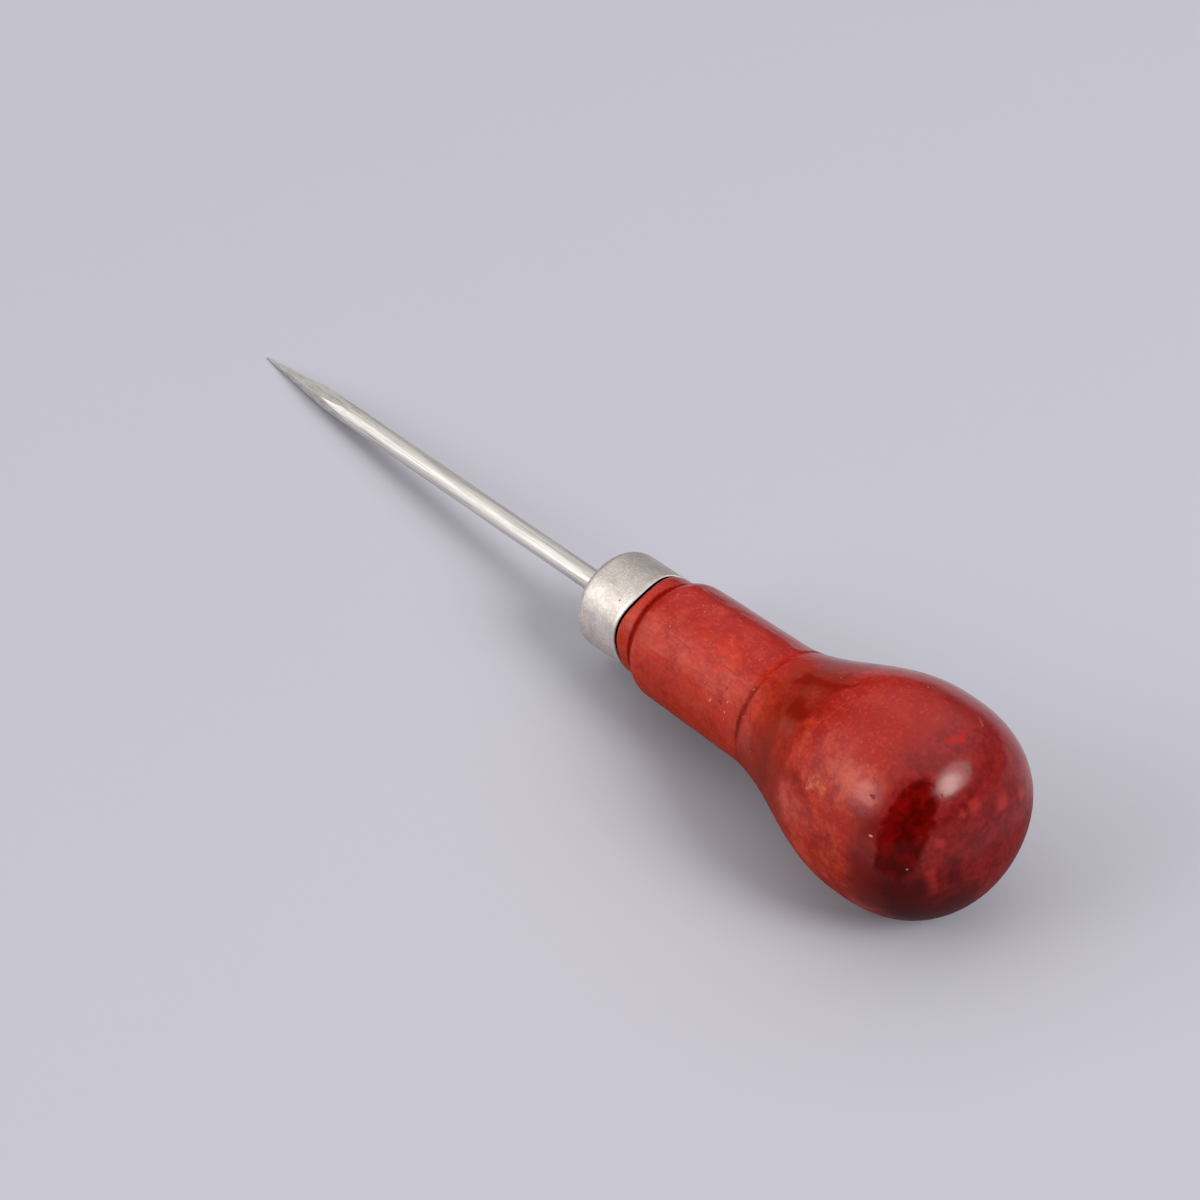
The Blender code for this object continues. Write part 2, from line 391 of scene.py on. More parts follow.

# The stain: thick and thin by blotches and along the fibres, rubbed lighter where the hand goes, and with
# pale streaks painted as a sheen along the neck's lit band. Depths are in millimetres behind the shoulder.
# Lean is
# -1 on the side toward the camera and 1 on the far side.
ORANGE_STAIN = (0.565, 0.028, 0.006)
RED_STAIN = (0.355, 0.006, 0.002)
FIBRE_SHADE = (0.30, 0.010, 0.006)
PORE_BROWN = (0.12, 0.006, 0.004)
SCUFF_AND_PAINTED_SHEEN = (0.76, 0.12, 0.09)
GRIT = (0.66, 0.078, 0.038)
WORN_ORANGE = (0.62, 0.085, 0.042)
STAIN_COAT = 0.045
BLOTCH_WEIGHT = 0.42
MOTTLE_WEIGHT = 0.40
FIBRE_WEIGHT = 0.18
WIPED = (33.0, 41.0)
WIPED_WEIGHT = 0.07
LEAN_WEIGHT = 0.23
RED_FROM = (0.30, 0.51)
FIBRE_TINT = (0.25, 0.48, 0.74)
LUMP_TINT = (0.30, 0.50, 0.68)
CRUMB_TINT = (0.50, 0.51, 0.69)
GRIT_TINT = (0.32, 0.52, 0.68)
HANDLED = (34.0, 39.0)
HANDLED_SIDE = (-0.40, -0.80)
HANDLED_ELSEWHERE = 0.25
WORN_TINT = (0.70, 0.42, 0.70)
DARK_TINT = (0.45, 0.47, 0.35)
RUBBED_AND_LIT_DEPTH = (23.0, 20.0)
RUBBED_AND_LIT_SIDE = (-0.97, -0.85, -0.60, -0.40)
RUBBED_AND_LIT_WANDER = 0.3
SCUFF_AND_SHEEN_TINT = (0.32, 0.46, 0.62)
SCUFF_AND_SHEEN_FIBRES = 0.6
PORE_TINT = (1.0, 0.58, 0.70)
PORE_SHARE = 0.12
RUBBED_AND_LIT_PORE_SHARE = 0.25

thickness = STAIN_COAT + BLOTCH_WEIGHT * blotches + MOTTLE_WEIGHT * mottle + FIBRE_WEIGHT * fibres
thickness = thickness + WIPED_WEIGHT * rise(depth, *WIPED) + LEAN_WEIGHT * lean
colour = blend(rise(thickness, *RED_FROM), ORANGE_STAIN, RED_STAIN)
colour = tinted(colour, fibres, FIBRE_TINT, FIBRE_SHADE)
colour = tinted(colour, lumps, LUMP_TINT, FIBRE_SHADE)
colour = tinted(colour, crumbs, CRUMB_TINT, FIBRE_SHADE)
colour = tinted(colour, grit, GRIT_TINT, GRIT)
in_hand = rise(depth, *HANDLED) * rise(lean, *HANDLED_SIDE)
handled = HANDLED_ELSEWHERE + (1 - HANDLED_ELSEWHERE) * in_hand
colour = tinted(colour, cast, WORN_TINT, WORN_ORANGE, handled)
colour = tinted(colour, cast, DARK_TINT, FIBRE_SHADE, handled)
# Partly rubbed wear and partly a painted sheen: pale streaks along the band of the neck that catches the
# light.
rubbed_and_lit = rise(depth, *RUBBED_AND_LIT_DEPTH) * within(lean + RUBBED_AND_LIT_WANDER * (fibres - 0.5), *RUBBED_AND_LIT_SIDE)
scuff_and_sheen_streaks = SCUFF_AND_SHEEN_FIBRES * fibres + (1 - SCUFF_AND_SHEEN_FIBRES) * crumbs
colour = tinted(colour, scuff_and_sheen_streaks, SCUFF_AND_SHEEN_TINT, SCUFF_AND_PAINTED_SHEEN, rubbed_and_lit)
colour = tinted(colour, hairs, PORE_TINT, PORE_BROWN, PORE_SHARE + RUBBED_AND_LIT_PORE_SHARE * rubbed_and_lit)

# The cove is darkened, partly by stain that gathers there and partly by painted shade, which is deeper on
# the side toward the camera. The stain stands there in a few brown pools.
COVE_STAIN_AND_SHADE = (0.16, 0.014, 0.006)
POOL_EDGE = (0.33, 0.027, 0.009)
POOLED_STAIN = (0.222, 0.0063, 0.0007)
DULL_SPOT = (0.26, 0.055, 0.040)
COVE_MIDDLE = 29.8
COVE_REACH = 7.2
COVE_SHADED_REACH = 1.8
COVE_WANDER = 12.0
COVE_RIPPLE = 5.0
COVE_WIDE = (1.0, 0.55)
COVE_DEEP = (0.45, 0.0)
COVE_SHARE = 0.36
COVE_SHADED_SHARE = 0.18
COVE_DEEP_SHARE = 0.28
SHADED_SIDE = (-0.78, -0.95)
STAIN_POOLS = [(along, -33, 1.7) for along in (30.6, 31.4, 32.2, 33.0)]
STAIN_POOLS += [(along, -12, 1.5) for along in (28.2, 29.0, 29.8, 30.6, 31.4, 32.2, 33.0, 33.8, 34.6)]
STAIN_POOLS += [(35.4, -8, 1.3), (36.0, -5, 1.1)]
STAIN_POOLS += [(30.5, 88, 2.2), (33.0, 104, 1.8), (29.5, 171, 2.0), (32.0, -158, 2.4)]
POOL_SHARE = 0.92
POOL_EDGES = ((31.5, -36, 3.8), (31.0, -11, 3.2), (26.2, -6, 2.8), (31.5, 96, 4.5), (31.0, -170, 4.5))
POOL_EDGE_SHARE = 0.45
DULL_SPOTS = ((31.0, -46, 1.5), (32.6, -46, 1.6), (28.0, 125, 1.5))
DULL_SHARE = 0.45

# Painted shade along with the gathered stain: the cove is darkened, more on the side toward the camera.
cove_depth = depth + COVE_WANDER * (patches - 0.5) + COVE_RIPPLE * (cast - 0.5)
shaded = rise(lean, *SHADED_SIDE)
from_cove = abs(cove_depth - COVE_MIDDLE) / (COVE_REACH + COVE_SHADED_REACH * shaded)
cove_stain_and_shade = (COVE_SHARE + COVE_SHADED_SHARE * shaded) * rise(from_cove, *COVE_WIDE)
cove_stain_and_shade = cove_stain_and_shade + COVE_DEEP_SHARE * rise(from_cove, *COVE_DEEP)
colour = blend(cove_stain_and_shade, colour, COVE_STAIN_AND_SHADE)
colour = blend(POOL_EDGE_SHARE * marks(ragged, POOL_EDGES, edge=3.0), colour, POOL_EDGE)
pools = marks(ragged, STAIN_POOLS, edge=1.0)
colour = blend(POOL_SHARE * pools, colour, POOLED_STAIN)
colour = blend(DULL_SHARE * marks(frayed, DULL_SPOTS, edge=1.4), colour, DULL_SPOT)

# The bulb is darker above and on the far side, which is painted shade. Its end grain is dark and lumpy,
# with painted shade underneath and a patch that soaked up most.
TOP_PAINTED_SHADE = (0.22, 0.004, 0.002)
FAR_SIDE_PAINTED_SHADE = (0.10, 0.005, 0.006)
END_UNDERSIDE_PAINTED_SHADE = (0.075, 0.0034, 0.0034)
END_GRAIN_SHADE = (0.168, 0.0062, 0.0058)
END_GRAIN_RED = (0.262, 0.0125, 0.012)
END_LUMP = (0.42, 0.028, 0.026)
SOAKED_GRAIN = (0.070, 0.0008, 0.0004)
SOAKED_RED = (0.18, 0.0018, 0.0010)
RUN_RED = (0.40, 0.004, 0.002)
FLECK = (0.70, 0.20, 0.09)
TOP_DEPTH = (37.0, 45.0)
TOP_SIDE = (-0.62, -0.30)
TOP_SHARE = 0.34
FAR_SIDE_SHADE_TINT = (0.40, 0.12, 0.42)
END_DEPTH = (46.5, 52.5)
END_SIDE = (-0.62, -0.35)
END_TILT = 1.4
END_WANDER = 4.0
END_RIPPLE = 2.0
END_LUMPINESS = 0.5
END_RED_FROM = (0.38, 0.62)
SOAKED_LUMPINESS = 0.75
SOAKED_RED_FROM = (0.38, 0.66)
LUMP_SPOTS = ((55.7, -88, 1.0), (55.7, -96, 1.1), (55.7, -104, 1.0), (55.6, -112, 0.9), (56.0, -9, 1.3),
              (55.9, -24, 0.9), (55.8, -58, 1.0), (56.3, 30, 1.4), (55.6, 60, 1.2))
LUMP_SHARE = 0.7
# Painted shade: large soft marks that darken the underside of the bulb's end.
UNDERSIDE_SHADE_SPOTS = ((52.6, -90, 4.5), (53.2, -106, 5.5), (53.6, -126, 5.0), (55.5, -150, 5.0), (56.5, -82, 2.2),
              (56.5, -105, 2.4), (56.5, -128, 2.2))
UNDERSIDE_SHADE_SHARE = 0.85
MAROON_SPOTS = [(49.8, turn, 3.0) for turn in range(-110, -60, 6)]
MAROON_SHARE = 0.75
SOAKED_SPOTS = [(53.1, turn, 2.9) for turn in range(-78, -40, 4)]
SOAKED_SPOTS += [(52.6, turn, 1.9) for turn in (-38, -34)]
SOAKED_SPOTS += [(54.1, turn, 1.9) for turn in range(-78, -44, 4)]
SOAKED_SPOTS += [(52.8, turn, 2.0) for turn in range(112, 140, 5)]
SOAKED_SHARE = 0.97
RUN_SPOTS = ((50.9, 0, 0.9), (51.2, 5, 1.1), (50.6, 9, 0.8), (49.0, -130, 1.0))
RUN_SHARE = 0.7
THIN_SPOTS = ((40.2, -62, 1.1), (41.2, -58, 1.0), (42.4, -60, 0.8), (44.5, 150, 1.3))
THIN_TINT = (0.7, 0.42, 0.58)

end_depth = depth + END_TILT * rise(lean, *END_SIDE)
end_depth = end_depth + END_WANDER * (blotches - 0.5) + END_RIPPLE * (mottle - 0.5)
end_lumps = END_LUMPINESS * lumps + (1 - END_LUMPINESS) * crumbs
end_colour = blend(rise(end_lumps, *END_RED_FROM), END_GRAIN_SHADE, END_GRAIN_RED)
end_colour = blend(LUMP_SHARE * marks(frayed, LUMP_SPOTS, edge=0.8), end_colour, END_LUMP)
# Painted shade under the end grain.
end_colour = blend(UNDERSIDE_SHADE_SHARE * marks(ragged, UNDERSIDE_SHADE_SPOTS, edge=3.0), end_colour, END_UNDERSIDE_PAINTED_SHADE)
# Painted shade: the top of the bulb is darkened.
colour = blend(TOP_SHARE * rise(depth, *TOP_DEPTH) * rise(lean, *TOP_SIDE), colour, TOP_PAINTED_SHADE)
# Painted shade: the far side of the handle is darkened.
colour = tinted(colour, lean, FAR_SIDE_SHADE_TINT, FAR_SIDE_PAINTED_SHADE)
colour = blend(rise(end_depth, *END_DEPTH), colour, end_colour)
colour = blend(MAROON_SHARE * marks(ragged, MAROON_SPOTS, edge=2.4), colour, END_GRAIN_SHADE)
soaked_lumps = SOAKED_LUMPINESS * lumps + (1 - SOAKED_LUMPINESS) * crumbs
soaked_colour = blend(rise(soaked_lumps, *SOAKED_RED_FROM), SOAKED_GRAIN, SOAKED_RED)
soaked = SOAKED_SHARE * marks(torn, SOAKED_SPOTS, edge=0.8)
colour = blend(soaked, colour, soaked_colour)
colour = blend(RUN_SHARE * marks(frayed, RUN_SPOTS, edge=0.7), colour, RUN_RED)
colour = tinted(colour, crumbs, THIN_TINT, FLECK, marks(frayed, THIN_SPOTS, edge=0.8))

# Dirt sits in the ring. Painted shadow darkens the cut between collar and nose, the spigot under the
# ferrule's rim and the start of the nose. The varnish has pits, nibs, which are also painted pale as glints,
# and a blister.
RING_DIRT = (0.11, 0.006, 0.004)
NOSE_PAINTED_SHADOW = (0.20, 0.006, 0.004)
NIB_AND_PAINTED_GLINT = (0.80, 0.34, 0.28)
CUT_PAINTED_SHADOW = (0.012, 0.003, 0.002)
RING_ZONE = (-0.75, -0.25, 0.25, 0.75)
RING_WANDER = 0.8
RING_SPOTS = ((22.7, -70, 3.0), (22.7, -55, 2.6), (22.7, -42, 2.2), (22.7, 60, 4.0), (22.7, 170, 5.0))
RING_SHARE = 0.10
RING_SPOT_SHARE = 0.58
NOSE_ZONE = (-0.5, -0.2, 0.6, 1.5)
NOSE_SHARE = 0.82
PIT_SPOTS = ((48.8, -49, 0.28), (18.5, -64, 0.36), (18.7, -52, 0.26), (14.0, 160, 0.3))
PIT_STRENGTH = 0.7
END_PITS = (43.0, 49.0)
END_PIT_STRENGTH = 0.5
NIB_SPOTS = ((16.7, -68, 0.24), (19.6, -70, 0.24), (19.4, -61, 0.28), (15.1, -57, 0.18), (50.3, -67, 0.30),
             (54.3, -83, 0.22), (38.4, -12, 0.13), (22.4, -38, 0.16), (12.0, 120, 0.25), (46.0, 80, 0.25))
NIBS_END = (48.0, 40.0)
NIB_STRENGTH = 0.5
FINE_NIBS_END = (26.0, 21.0)
FINE_NIB_STRENGTH = 0.6
FAULT_SHARE = 0.8
BLISTER_INSIDE = ((49.3, 20.5, 1.5),)
BLISTER_OUTSIDE = ((49.6, 19, 1.75),)
BLISTER_EDGE = 0.5
BLISTER_SHARE = 0.42
BLISTER_RIM_SHARE = 0.4
CUT_INSIDE = (MM * COLLAR_RADIUS - 0.12, MM * COLLAR_RADIUS - 0.25)
CUT_END = (0.5, 0.1)

in_ring = within(depth + RING_WANDER * (crumbs - 0.5) - MM * RING_DEPTH, *RING_ZONE)
ring_dirt = RING_SHARE + RING_SPOT_SHARE * marks(ragged, RING_SPOTS, edge=2.5)
colour = blend(ring_dirt * in_ring, colour, RING_DIRT)
# Painted shadow of the cut on the start of the nose.
colour = blend(NOSE_SHARE * within(depth, *NOSE_ZONE), colour, NOSE_PAINTED_SHADOW)
pits = PIT_STRENGTH * scattered(place, scale=0.30, share=0.30, size=0.05) + marks(frayed, PIT_SPOTS, edge=0.2)
end_pits = scattered(place, scale=1.0, share=0.35, size=0.10) * rise(depth, *END_PITS)
pits = pits + END_PIT_STRENGTH * end_pits
nibs_and_glints = scattered(place, scale=0.75, share=0.10, size=0.08) * rise(depth, *NIBS_END)
fine_nibs = scattered(place, scale=1.5, share=0.10, size=0.11) * rise(depth, *FINE_NIBS_END)
nibs_and_glints = NIB_STRENGTH * nibs_and_glints + FINE_NIB_STRENGTH * fine_nibs + marks(frayed, NIB_SPOTS, edge=0.15)
in_blister = marks(wandering, BLISTER_OUTSIDE, BLISTER_EDGE)
blister_rim = in_blister * (1 - marks(wandering, BLISTER_INSIDE, BLISTER_EDGE))
colour = blend(FAULT_SHARE * pits, colour, PORE_BROWN)
# Nibs of dust in the varnish, painted pale partly as dust and partly as painted glints.
colour = blend(FAULT_SHARE * nibs_and_glints, colour, NIB_AND_PAINTED_GLINT)
colour = blend(BLISTER_SHARE * in_blister + BLISTER_RIM_SHARE * blister_rim, colour, FIBRE_SHADE)
# Painted shadow: the cut and the spigot under the ferrule's rim are darkened nearly to black.
colour = blend(rise(from_axis, *CUT_INSIDE) * rise(depth, *CUT_END), colour, CUT_PAINTED_SHADOW)

# The varnish: runny on the neck, glossy above, and nearly gone underneath, in the cove and in the cuts.
RUNNY = (27.0, 20.0)
PEEL = 0.30
RUNNY_PEEL = 0.30
RUNNY_STREAKS = 0.45
PIT_DEPTH = 0.4
NIB_HEIGHT = 0.4
BLISTER_HEIGHT = 0.8
RELIEF_HEIGHT = 0.00016
GLOSS = 0.14
MOTTLED_GLOSS = 0.08
FIBRE_GLOSS = 0.08
DULL_FIBRES = (0.45, 0.75)
DRAINED = (4.5, -1.5)
DRAIN_WANDER = 3.0
COVE_ZONE = (21.5, 27.0, 33.5, 40.5)
COVE_DRY_SHARE = 0.5
COVE_NEAR_SIDE = (-0.35, -0.60)
COVE_NEAR_SHARE = 0.5
COVE_FAR_SIDE = (0.18, 0.40)
COVE_FAR_SHARE = -0.4
BUTT_ZONE = (54.8, 55.8)
BUTT_DRY_SHARE = 0.5
DRY_SHARE = 0.75
BARE_ZONE = (-0.8, -0.5, 0.9, 1.7)

peel = cloud(place, scale=0.45, detail=1.0, roughness=0.5)
streaks = cloud(drawn_out(place, 0.22), scale=1.3, detail=1.0, roughness=0.5)
runny = rise(depth, *RUNNY)
relief = (PEEL + RUNNY_PEEL * runny) * peel + RUNNY_STREAKS * runny * streaks
relief = relief - PIT_DEPTH * pits + NIB_HEIGHT * nibs_and_glints + BLISTER_HEIGHT * blister_rim
normal = bumped(relief, strength=1.0, distance=RELIEF_HEIGHT)
varnished = start.node("ShaderNodeBsdfPrincipled", sockets={
    "Base Color": colour,
    "Roughness": GLOSS + MOTTLED_GLOSS * mottle + FIBRE_GLOSS * rise(fibres, *DULL_FIBRES),
    "IOR": 1.45,
    "Specular IOR Level": 0.37,
    "Specular Tint": (1.0, 0.94, 0.88, 1.0),
    "Normal": normal,
})
bare = start.node("ShaderNodeBsdfPrincipled", sockets={
    "Base Color": colour, "Roughness": 0.6, "Specular IOR Level": 0.0, "Normal": normal})
drained = rise(part_of(place, "X") + DRAIN_WANDER * (patches - 0.5), *DRAINED)
cove_dry = COVE_DRY_SHARE + COVE_NEAR_SHARE * rise(lean, *COVE_NEAR_SIDE)
cove_dry = cove_dry + COVE_FAR_SHARE * rise(lean, *COVE_FAR_SIDE)
dry = larger(drained, within(cove_depth, *COVE_ZONE) * cove_dry)
dry = larger(dry, BUTT_DRY_SHARE * rise(depth, *BUTT_ZONE))
dry = larger(dry, soaked)
dry = larger(dry, pools)
dry = larger(dry, in_ring)
gone = larger(DRY_SHARE * dry, within(depth, *BARE_ZONE))
mixed = start.node("ShaderNodeMixShader", sockets={0: gone, 1: varnished, 2: bare})
start.node("ShaderNodeOutputMaterial", sockets={"Surface": mixed})
laid_piece("turned_handle", handle_shape, wood, "handle")

# Ferrule
# One cup of thin sheet metal, drawn in a die and nickel plated, with a hole in its closed front for the
# blade. It is pushed over the spigot to keep the wood from splitting. Its cut rim is wavy, and bright: bare
# metal, with a painted highlight on it.
FERRULE_RADIUS = 0.00685
FERRULE_WALL = 0.0003
FERRULE_ROUNDING = 0.0015
WALL_STEPS = 10
OUTER_EDGE_STEPS = 12
INNER_EDGE_STEPS = 8
DRAWING_MARKS = 0.00003
DRAWING_SIZE = 0.0045
RIM_HEIGHT = 0.0002
RIM_EASE = 0.00012
EASE_STEPS = 2
RIM_WAVE_FADE = 3
inside_rounding = FERRULE_ROUNDING - FERRULE_WALL
inside_radius = FERRULE_RADIUS - FERRULE_WALL


def ease_edges(shape, edges, width):
    """Rounds sharp edges a little."""
    bmesh.ops.bevel(shape, geom=edges, offset=width, affect="EDGES", segments=EASE_STEPS, profile=0.5,
                    material=-1)


wall_length = FERRULE_LENGTH - FERRULE_ROUNDING
wall_heights = [-FERRULE_ROUNDING - wall_length * step / WALL_STEPS for step in range(1, WALL_STEPS + 1)]
outer_wall = [(FERRULE_RADIUS, height) for height in wall_heights]
inner_wall = [(inside_radius, height) for height in reversed(wall_heights)]
front_edge = (FERRULE_RADIUS - FERRULE_ROUNDING, 0.0)
outer_edge = arc(front_edge, FERRULE_ROUNDING, -FERRULE_ROUNDING, OUTER_EDGE_STEPS)
inner_edge = arc((inside_radius - inside_rounding, -FERRULE_WALL), inside_rounding, -inside_rounding,
                 INNER_EDGE_STEPS)
ferrule_line = [(BORE_RADIUS, 0.0)] + outer_edge + outer_wall + inner_wall
ferrule_line += inner_edge[::-1] + [(BORE_RADIUS, -FERRULE_WALL)]
ferrule_shape = spun(ferrule_line, TURNED_STEPS, closed=True)
unevenness(ferrule_shape, DRAWING_MARKS, DRAWING_SIZE)
rim = [edge for edge in ferrule_shape.edges
       if all(corner.co.z < -FERRULE_LENGTH + RIM_HEIGHT for corner in edge.verts)
       and edge.calc_face_angle(0.0) > SHARP_ANGLE]
ease_edges(ferrule_shape, rim, RIM_EASE)
for corner in ferrule_shape.verts:
    toward_rim = max(-corner.co.z - FERRULE_ROUNDING, 0.0) / wall_length
    corner.co.z -= rim_wave(corner) * toward_rim ** RIM_WAVE_FADE

NICKEL = (0.69, 0.625, 0.565)
NICKEL_SHADE = (0.54, 0.49, 0.445)
NICKEL_LIGHT = (0.86, 0.80, 0.73)
RIM_BARE_AND_PAINTED_HIGHLIGHT = (0.95, 0.91, 0.86)
STAIN_SPECK = (0.10, 0.09, 0.08)
CLOUDED_FROM = (0.35, 0.70)
LIGHT_TINT = (0.6, 0.52, 0.64)
SHADE_TINT = (0.5, 0.46, 0.34)
RIM_STARTS = (-7.4, -7.6)
RIM_INSIDE = (6.82, 6.77)
RIM_METAL = 0.25
SATIN = 0.36
CLOUDED_SATIN = 0.12
GRAIN_SATIN = 0.06
RIM_DULLNESS = 0.30
CLOUDED_HEIGHT = 0.6
GRAIN_HEIGHT = 0.00006

nickel, start = new_finish("satin_nickel_plate")
place = awl_place(start)
clouding = cloud(place, scale=0.55, detail=4.0)
grain = cloud(place, scale=3.2, detail=3.0, roughness=0.65)
freckles = scattered(place, scale=0.45, share=0.5, size=0.06)
on_rim = rise(part_of(place, "Z"), *RIM_STARTS) * rise(axis_distance(place), *RIM_INSIDE)
colour = blend(rise(clouding, *CLOUDED_FROM), NICKEL, NICKEL_SHADE)
colour = tinted(colour, grain, LIGHT_TINT, NICKEL_LIGHT)
colour = tinted(colour, grain, SHADE_TINT, NICKEL_SHADE)
colour = blend(freckles, colour, STAIN_SPECK)
# The cut rim is bare metal, made bright as a painted highlight.
colour = blend(on_rim, colour, RIM_BARE_AND_PAINTED_HIGHLIGHT)
surface(start, {
    "Base Color": colour,
    "Metallic": 1 - (1 - RIM_METAL) * on_rim,
    "Roughness": SATIN + CLOUDED_SATIN * clouding + GRAIN_SATIN * grain + RIM_DULLNESS * on_rim,
    "Normal": bumped(grain + CLOUDED_HEIGHT * clouding, strength=0.60, distance=GRAIN_HEIGHT),
})
laid_piece("drawn_ferrule", ferrule_shape, nickel, "ferrule")

# Blade
# One length of round steel rod, polished lengthwise. Four flats are ground at its end to make a square point,
# which keeps the grinding marks. Its other end is a square tapered tang, driven into the handle through the
# ferrule's hole.
SHANK_RADIUS = 0.0015
SHANK_STEPS = 72
BLADE_REACH = 0.0815
POINT_LENGTH = 0.0225
POINT_TURN = math.radians(39)
POINT_SIDES = 4
TIP_WIDTH = 0.00016
TANG_LENGTH = 0.0320
TANG_TAPER = 0.0240
TANG_END_WIDTH = 0.0016
RIDGE_EASE = 0.00004
FLAT_ANGLE = math.radians(7)
SHANK_RINGS = (0.0005, 0.03, 0.0585)


def whole(shape):
    return shape.verts[:] + shape.edges[:] + shape.faces[:]


def ground_flat(shape, end, half_width, spread, taper, turn):
    """Grinds one flat: it passes half_width from the axis at an end, and widens by spread over a taper."""
    slope = math.atan2(spread, abs(taper))
    outward = Vector((math.cos(turn), math.sin(turn), 0.0))
    facing = outward * math.cos(slope) + Vector((0.0, 0.0, math.copysign(math.sin(slope), taper)))
    cut = bmesh.ops.bisect_plane(
        shape, geom=whole(shape), dist=WELD, plane_co=outward * half_width + Vector((0.0, 0.0, end)),
        plane_no=facing, clear_outer=True)
    open_edges = [item for item in cut["geom_cut"] if isinstance(item, bmesh.types.BMEdge)]
    bmesh.ops.holes_fill(shape, edges=open_edges)


blade_shape = bmesh.new()
bmesh.ops.create_cone(
    blade_shape, cap_ends=True, segments=SHANK_STEPS, radius1=SHANK_RADIUS, radius2=SHANK_RADIUS,
    depth=BLADE_REACH + TANG_LENGTH, matrix=Matrix.Translation((0, 0, (BLADE_REACH - TANG_LENGTH) / 2)))
for side in range(POINT_SIDES):
    turn = POINT_TURN + math.pi / POINT_SIDES + 2 * math.pi / POINT_SIDES * side
    ground_flat(blade_shape, BLADE_REACH, TIP_WIDTH / 2, SHANK_RADIUS - TIP_WIDTH / 2, POINT_LENGTH, turn)
    ground_flat(blade_shape, -TANG_LENGTH, TANG_END_WIDTH / 2, SHANK_RADIUS - TANG_END_WIDTH / 2,
                -TANG_TAPER, turn)
bmesh.ops.recalc_face_normals(blade_shape, faces=blade_shape.faces)
ridges = [edge for edge in blade_shape.edges if edge.calc_face_angle(0.0) > SHARP_ANGLE]
ease_edges(blade_shape, ridges, RIDGE_EASE)
# Rings across the shank keep its shading round up to the flats.
for ring in SHANK_RINGS:
    bmesh.ops.bisect_plane(blade_shape, geom=whole(blade_shape), dist=WELD, plane_co=(0, 0, ring),
                           plane_no=(0, 0, 1))

STEEL = (0.80, 0.76, 0.71)
STEEL_SHADE = (0.50, 0.475, 0.44)
LINE_SHADE_FROM = (0.40, 0.75)
GRINDING_TINT = (0.7, 0.50, 0.66)
POINT_STARTS = (50.0, 60.0)
POLISH = 0.36
LINED_POLISH = 0.12
CLOUDED_POLISH = 0.08
WAVE_HEIGHT = 0.4
GRINDING_HEIGHT = 0.8
LINE_HEIGHT = 0.00006

steel, start = new_finish("polished_steel")
place = awl_place(start)
lines = cloud(drawn_out(place, 0.02), scale=4.5, detail=3.0)
clouding = cloud(drawn_out(place, 0.25), scale=0.9, detail=3.0)
grinding = cloud(drawn_out(place, 0.12), scale=3.0, detail=3.0)
on_point = rise(part_of(place, "Z"), *POINT_STARTS)
colour = blend(rise(lines, *LINE_SHADE_FROM), STEEL, STEEL_SHADE)
colour = tinted(colour, grinding, GRINDING_TINT, STEEL_SHADE, on_point)
relief = lines + WAVE_HEIGHT * clouding + GRINDING_HEIGHT * on_point * grinding
surface(start, {
    "Base Color": colour,
    "Metallic": 1.0,
    "Roughness": POLISH + LINED_POLISH * lines + CLOUDED_POLISH * clouding,
    "Normal": bumped(relief, strength=0.55, distance=LINE_HEIGHT),
})
laid_piece("pointed_blade", blade_shape, steel, "blade", FLAT_ANGLE)

# Table
# A plain pale lilac-grey board with a dull face, wide enough to fill every view. The light that it throws
# back on the awl is kept low, so that the awl stays dark underneath.
TABLE_WIDTH = 6.0
TABLE_GREY = (0.460, 0.451, 0.502)
BOUNCE_GREY = (0.14, 0.137, 0.15)

board, start = new_finish("pale_board")
camera_ray = start.node("ShaderNodeLightPath", output="Is Camera Ray")
glossy_ray = start.node("ShaderNodeLightPath", output="Is Glossy Ray")
seen = camera_ray + glossy_ray + start.node("ShaderNodeLightPath", output="Is Transmission Ray")
surface(start, {
    "Base Color": blend(seen, BOUNCE_GREY, TABLE_GREY),
    "Roughness": 0.7,
    "Specular IOR Level": 0.2,
})
table_shape = bmesh.new()
bmesh.ops.create_grid(table_shape, x_segments=1, y_segments=1, size=TABLE_WIDTH / 2)
table_mesh = bpy.data.meshes.new("table")
table_shape.to_mesh(table_mesh)
table_shape.free()
table_mesh.materials.append(board)
table = bpy.data.objects.new("table", table_mesh)
bpy.context.scene.collection.objects.link(table)

# Light
# A grey room with a soft glow overhead, a little behind the awl, and another low on the left. A small bright
# lamp with a halo stands on the right, and a dim one with a wide glow on the left. Behind the camera is a
# dark gap, which the varnish mirrors.
ROOM_GREY = (0.13, 0.13, 0.136)
CEILING_GLOW = (1.05, 1.05, 1.07)
CEILING_SPREAD = (0.42, 1.0)
WINDOW_GLOW = (1.34, 1.34, 1.34)
WINDOW_SPREAD = (0.68, 0.98)
GAP_GREY = (0.012, 0.012, 0.012)
GAP_FROM = math.radians(-72)
GAP_TO = math.radians(-8)
GAP_LOW = math.sin(math.radians(2))
GAP_HIGH = math.sin(math.radians(63))
GAP_BLUR = 0.05

room = bpy.data.worlds.new("studio")
room.use_nodes = True
room.node_tree.nodes.clear()
bpy.context.scene.world = room
start = Value(room.node_tree)
direction = start.node("ShaderNodeTexCoord", output="Generated")
upward = start.node("ShaderNodeSeparateXYZ", sockets={0: direction}, output="Z")


def compass(azimuth, elevation):
    """The direction from the awl toward an azimuth and an elevation."""
    level = math.cos(math.radians(elevation))
    return Vector((math.cos(math.radians(azimuth)) * level, math.sin(math.radians(azimuth)) * level,
                   math.sin(math.radians(elevation))))


def toward(facing):
    """1 straight toward a direction, 0 across it and -1 away from it."""
    return vector_maths("DOT_PRODUCT", direction, facing, output="Value")


def past_plane(facing):
    """1 on the side of a plane through the awl that it faces, and 0 on the other."""
    return rise(toward(facing), -GAP_BLUR, GAP_BLUR)


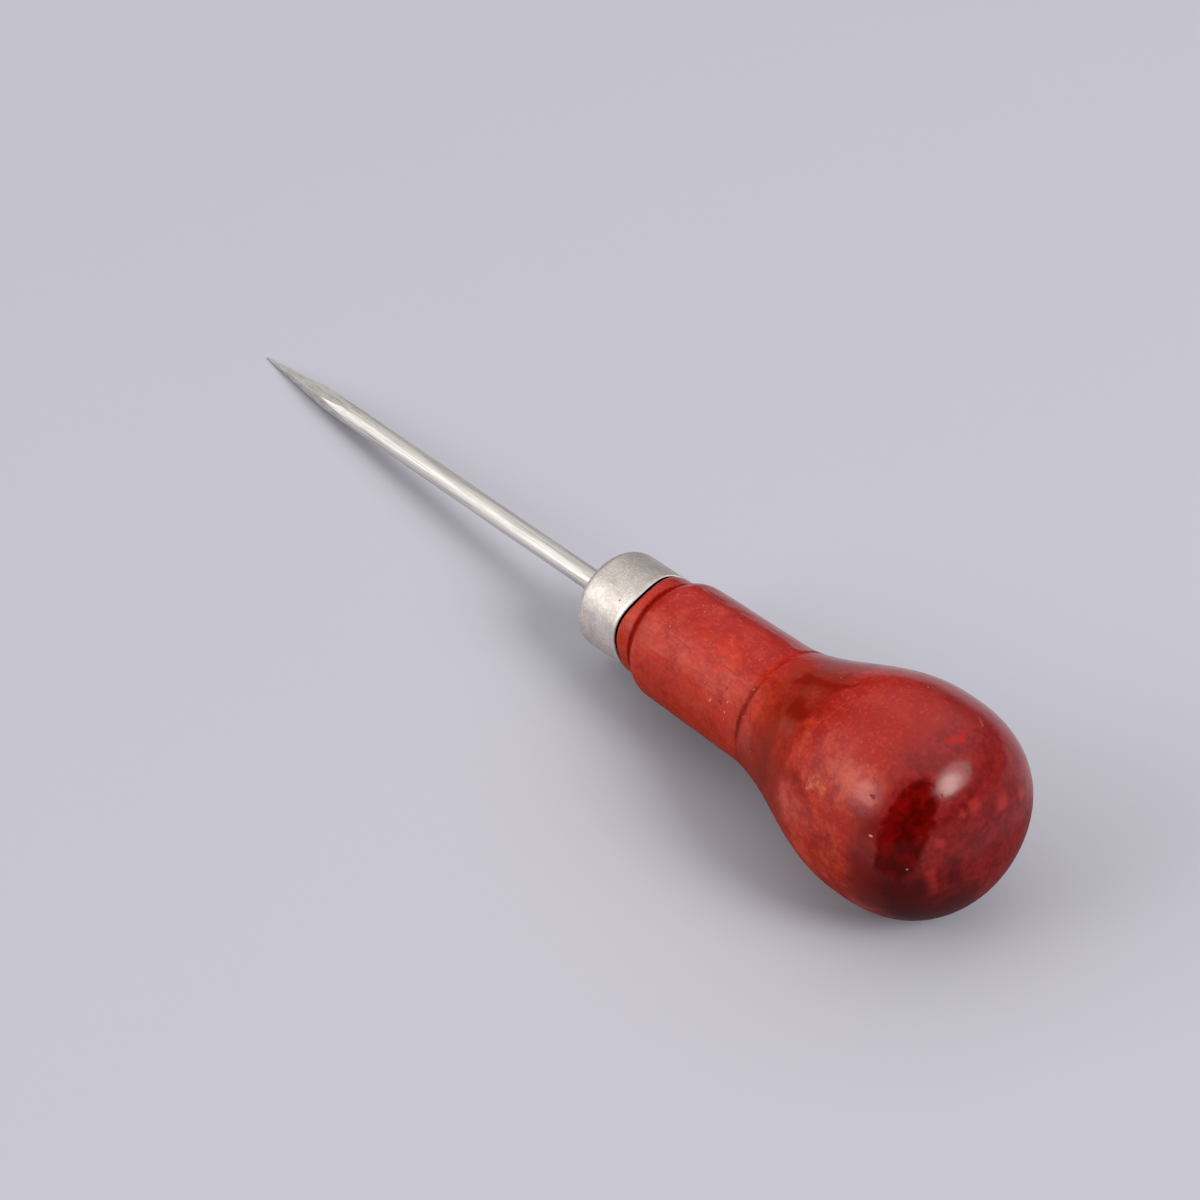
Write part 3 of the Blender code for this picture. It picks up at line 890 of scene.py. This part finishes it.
in_gap = past_plane((-math.sin(GAP_FROM), math.cos(GAP_FROM), 0.0))
in_gap = in_gap * past_plane((math.sin(GAP_TO), -math.cos(GAP_TO), 0.0))
in_gap = in_gap * rise(upward, GAP_LOW - GAP_BLUR, GAP_LOW + GAP_BLUR)
in_gap = in_gap * rise(upward, GAP_HIGH + GAP_BLUR, GAP_HIGH - GAP_BLUR)
ceiling = rise(toward(compass(azimuth=132, elevation=72)), *CEILING_SPREAD)
window = rise(toward(compass(azimuth=-130, elevation=27)), *WINDOW_SPREAD)
room_light = blend(ceiling, ROOM_GREY, CEILING_GLOW)
room_light = blend(window, room_light, WINDOW_GLOW)
room_light = blend(in_gap, room_light, GAP_GREY)
glow = start.node("ShaderNodeBackground", sockets={"Color": room_light, "Strength": 1.0})
start.node("ShaderNodeOutputWorld", sockets={"Surface": glow})


def softbox(name, azimuth, elevation, distance, width, height, radiance):
    """A flat lamp that faces the awl, with its brightness given as what the eye would see on it."""
    lamp = bpy.data.lights.new(name, "AREA")
    lamp.shape = "ELLIPSE"
    lamp.size = width
    lamp.size_y = height
    lamp.energy = radiance * math.pi * (math.pi / 4 * width * height)
    away = compass(azimuth, elevation)
    stand = bpy.data.objects.new(name, lamp)
    stand.location = away * distance
    stand.rotation_euler = away.to_track_quat("Z", "Y").to_euler()
    bpy.context.scene.collection.objects.link(stand)


softbox("right_lamp", azimuth=11, elevation=39, distance=2.4, width=0.92, height=0.98, radiance=9.6)
softbox("right_halo", azimuth=20, elevation=41, distance=2.42, width=1.60, height=1.45, radiance=3.8)
softbox("left_lamp", azimuth=-106, elevation=30, distance=2.4, width=0.90, height=0.80, radiance=3.5)
softbox("left_glow", azimuth=-110, elevation=30, distance=2.42, width=2.20, height=1.60, radiance=1.1)

# Camera
# It stands 0.4 m from the awl with a long lens, in front of the butt and to its right, and looks down at
# the awl from about forty degrees.
CAMERA_AZIMUTH = math.radians(51.4)
CAMERA_ELEVATION = math.radians(40.6)
CAMERA_DISTANCE = 0.400
LENS_MM = 94.8
SENSOR_MM = 36.0
camera_aim = Vector((0.00994, -0.00533, 0.01301))
toward_camera = Vector((math.sin(CAMERA_AZIMUTH) * math.cos(CAMERA_ELEVATION),
                        -math.cos(CAMERA_AZIMUTH) * math.cos(CAMERA_ELEVATION),
                        math.sin(CAMERA_ELEVATION)))

lens = bpy.data.cameras.new("camera")
lens.lens = LENS_MM
lens.sensor_width = SENSOR_MM
camera = bpy.data.objects.new("camera", lens)
camera.location = camera_aim + toward_camera * CAMERA_DISTANCE
camera.rotation_euler = toward_camera.to_track_quat("Z", "Y").to_euler()
bpy.context.scene.collection.objects.link(camera)
bpy.context.scene.camera = camera
bpy.context.scene.view_settings.view_transform = "Standard"
